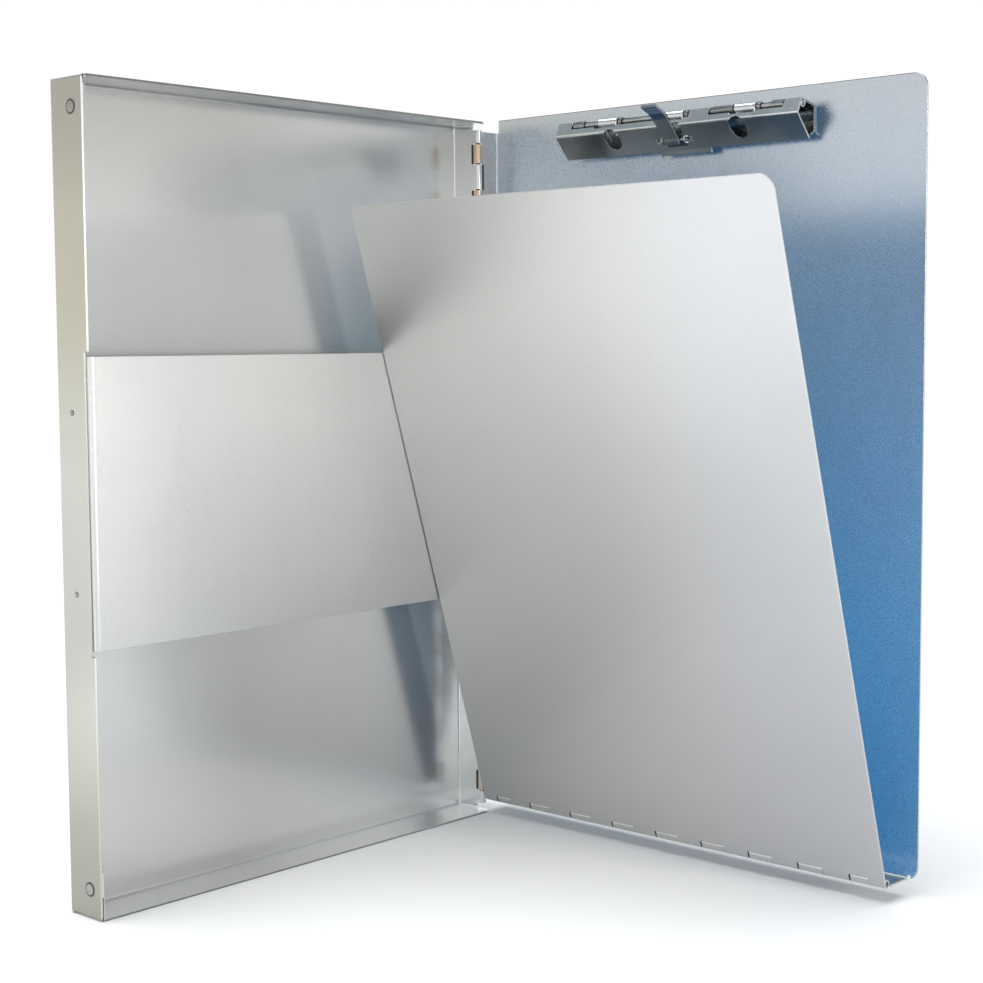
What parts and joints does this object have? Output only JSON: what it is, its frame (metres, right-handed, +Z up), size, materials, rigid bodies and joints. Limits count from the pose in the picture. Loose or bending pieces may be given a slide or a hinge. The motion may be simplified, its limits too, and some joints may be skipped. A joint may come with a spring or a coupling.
{
  "type": "side-opening storage clipboard",
  "caption": "Side-opening metal form holder: storage tray, hinged cover with a sprung clip, and a hinged writing plate, standing open at a right angle.",
  "frame": {"origin": "centre of the bounding box's footprint, on the surface the tray stands on", "axes": "+Z up along the main hinge; the tray runs towards -Y and opens towards +X; the cover runs towards +X and faces -Y"},
  "size_m": [0.25, 0.2458, 0.338],
  "materials": {
    "tray_shell": "satin, unpainted sheet",
    "retainer_band": "satin, unpainted sheet",
    "corner_rivet_lower": "bright, flat head",
    "corner_rivet_upper": "bright, flat head",
    "band_rivet_lower": "satin, small clinched head",
    "band_rivet_upper": "satin, small clinched head",
    "main_hinge_pin": "drawn wire",
    "cover_panel": "satin, unpainted sheet",
    "writing_plate": "satin, unpainted sheet",
    "plate_hinge_pin": "drawn wire",
    "clip_base": "nickel plated",
    "clip_jaw": "nickel plated",
    "clip_hinge_rod": "drawn wire",
    "clip_spring_left": "bright spring wire",
    "clip_spring_centre": "bright spring wire",
    "clip_spring_right": "bright spring wire",
    "clip_rivet_left": "bright, domed head",
    "clip_rivet_right": "bright, domed head",
    "clip_lever": "nickel plated",
    "lever_pin": "plated pin"
  },
  "bodies": {
    "tray": {"tray_shell": "tray_shell", "retainer_band": "retainer_band", "corner_rivet_lower": "corner_rivet_lower", "corner_rivet_upper": "corner_rivet_upper", "band_rivet_lower": "band_rivet_lower", "band_rivet_upper": "band_rivet_upper", "main_hinge_pin": "main_hinge_pin"},
    "cover": {"cover_panel": "cover_panel", "plate_hinge_pin": "plate_hinge_pin", "clip_base": "clip_base", "clip_hinge_rod": "clip_hinge_rod", "clip_spring_left": "clip_spring_left", "clip_spring_centre": "clip_spring_centre", "clip_spring_right": "clip_spring_right", "clip_rivet_left": "clip_rivet_left", "clip_rivet_right": "clip_rivet_right"},
    "plate": {"writing_plate": "writing_plate"},
    "jaw": {"clip_jaw": "clip_jaw", "lever_pin": "lever_pin"},
    "lever": {"clip_lever": "clip_lever"}
  },
  "joints": [
    {"name": "main_hinge", "type": "hinge", "parent": "tray", "child": "cover", "pos_m": [-0.1096, 0.1091, 0.168], "axis": [0, 0, 1], "range_deg": [0, 90]},
    {"name": "plate_hinge", "type": "hinge", "parent": "cover", "child": "plate", "pos_m": [0.0087, 0.1055, 0.0087], "axis": [1, 0, 0], "range_deg": [-19.5, 90]},
    {"name": "clip_hinge", "type": "hinge", "parent": "cover", "child": "jaw", "pos_m": [0.0072, 0.1113, 0.3296], "axis": [-1, 0, 0], "range_deg": [0, 24], "stiffness_Nm_per_rad": 0.5, "springref_deg": -34.38, "deforming": ["clip_spring_left", "clip_spring_centre", "clip_spring_right"]},
    {"name": "lever_pivot", "type": "hinge", "parent": "jaw", "child": "lever", "pos_m": [0.0053, 0.1124, 0.3193], "axis": [1, 0, 0], "range_deg": [0, 60]}
  ],
  "couplings": [
    {"joint": "lever_pivot", "follows": "clip_hinge", "ratio": 2.5}
  ]
}
